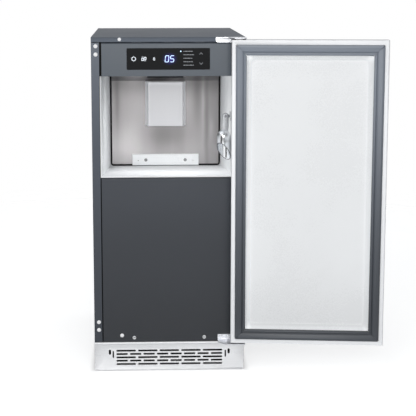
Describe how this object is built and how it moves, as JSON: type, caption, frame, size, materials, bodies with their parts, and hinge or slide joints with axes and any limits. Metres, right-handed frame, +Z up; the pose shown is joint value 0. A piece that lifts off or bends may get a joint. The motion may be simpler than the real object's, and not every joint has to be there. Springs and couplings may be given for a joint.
{
  "type": "nugget ice maker",
  "caption": "Tall narrow undercounter nugget ice maker with an open hinged door, a white ice bin with a chute and scoop, a touch display and a slotted steel kick plate.",
  "frame": {"origin": "on the floor, at the centre of the cabinet's footprint, the door left out", "axes": "+X to the right seen from the front, +Y towards the back, +Z up; the door opens towards -Y"},
  "size_m": [0.7241, 0.6851, 0.846],
  "materials": {
    "panel_grey": "satin charcoal powder coat",
    "fascia_grey": "satin grey powder coat",
    "galvanised": "zinc-coated sheet",
    "brushed_steel": "brushed stainless steel",
    "bright_steel": "polished stainless steel",
    "white_plastic": "smooth white food-grade plastic",
    "matte_white": "matt white plastic",
    "black_gloss": "glossy black window",
    "black_plastic": "matt black plastic",
    "seal_rubber": "dark grey vinyl gasket",
    "black_rubber": "black rubber",
    "foam": "rigid polyurethane foam",
    "copper_tube": "drawn copper tube",
    "shell_black": "gloss black enamel",
    "gear_grey": "painted casting",
    "clear_plastic": "translucent moulded plastic",
    "board_green": "printed circuit board",
    "magnet": "magnetic strip",
    "float_orange": "moulded float"
  },
  "bodies": {
    "cabinet": {"base_pan": "galvanised", "left_side_panel": "panel_grey", "right_side_panel": "panel_grey", "top_panel": "panel_grey", "back_panel": "panel_grey", "lower_front_panel": "panel_grey", "kick_plate": "brushed_steel", "control_fascia": "fascia_grey", "display_window": "black_gloss", "control_board": "board_green", "electronics_box": "black_plastic", "bin_liner": "white_plastic", "bin_back_sheet": "brushed_steel", "bin_seal_trim": "black_rubber", "bin_insulation": "foam", "ice_level_sensor": "black_plastic", "ice_chute_cover": "white_plastic", "ice_chute": "white_plastic", "drain_cover": "white_plastic", "bin_drain_pipe": "matte_white", "drain_spigot": "matte_white", "scoop_hook": "bright_steel", "hinge_hole_plugs": "matte_white", "panel_screws": "galvanised", "top_hinge_bracket": "bright_steel", "bottom_hinge_bracket": "bright_steel", "hinge_screws": "galvanised", "compressor": "shell_black", "compressor_mounts": "black_rubber", "condenser": "galvanised", "fan_shroud": "black_plastic", "fan_motor": "shell_black", "filter_drier": "copper_tube", "refrigerant_lines": "copper_tube", "freezing_barrel": "brushed_steel", "evaporator_coil": "copper_tube", "extruder_head": "brushed_steel", "auger_gearmotor": "gear_grey", "drive_bracket": "galvanised", "water_reservoir": "clear_plastic", "water_inlet_valve": "matte_white", "water_hoses": "clear_plastic", "cord_gland": "black_plastic"},
    "door": {"door_skin": "brushed_steel", "door_foam": "foam", "door_liner": "white_plastic", "door_gasket": "seal_rubber", "gasket_magnets": "magnet", "hinge_bushes": "matte_white", "handle_bar": "bright_steel", "handle_posts": "bright_steel"},
    "auger": {"auger": "brushed_steel"},
    "condenser_fan": {"condenser_fan": "black_plastic"},
    "scoop": {"scoop": "bright_steel"},
    "float_arm": {"float_arm": "float_orange"},
    "foot_front_left": {"foot_front_left": "black_rubber"},
    "foot_front_right": {"foot_front_right": "black_rubber"},
    "foot_rear_left": {"foot_rear_left": "black_rubber"},
    "foot_rear_right": {"foot_rear_right": "black_rubber"}
  },
  "joints": [
    {"name": "door_hinge", "type": "hinge", "parent": "cabinet", "child": "door", "pos_m": [0.172, -0.311, 0.4], "axis": [0, 0, 1], "range_deg": [-174, 0]},
    {"name": "auger_spin", "type": "hinge", "parent": "cabinet", "child": "auger", "pos_m": [0, 0.231, 0.54], "axis": [0, 0, 1], "continuous": true},
    {"name": "condenser_fan_spin", "type": "hinge", "parent": "cabinet", "child": "condenser_fan", "pos_m": [-0.035, -0.184, 0.142], "axis": [0, 1, 0], "continuous": true},
    {"name": "scoop_off_peg", "type": "slide", "parent": "cabinet", "child": "scoop", "axis": [0, -1, 0], "range_m": [0, 0.025]},
    {"name": "float_lift", "type": "hinge", "parent": "cabinet", "child": "float_arm", "pos_m": [0.1045, 0.2295, 0.5569], "axis": [0, -1, 0], "range_deg": [0, 20]},
    {"name": "foot_front_left_screw", "type": "slide", "parent": "cabinet", "child": "foot_front_left", "axis": [0, 0, -1], "range_m": [0, 0.02]},
    {"name": "foot_front_right_screw", "type": "slide", "parent": "cabinet", "child": "foot_front_right", "axis": [0, 0, -1], "range_m": [0, 0.02]},
    {"name": "foot_rear_left_screw", "type": "slide", "parent": "cabinet", "child": "foot_rear_left", "axis": [0, 0, -1], "range_m": [0, 0.02]},
    {"name": "foot_rear_right_screw", "type": "slide", "parent": "cabinet", "child": "foot_rear_right", "axis": [0, 0, -1], "range_m": [0, 0.02]}
  ]
}
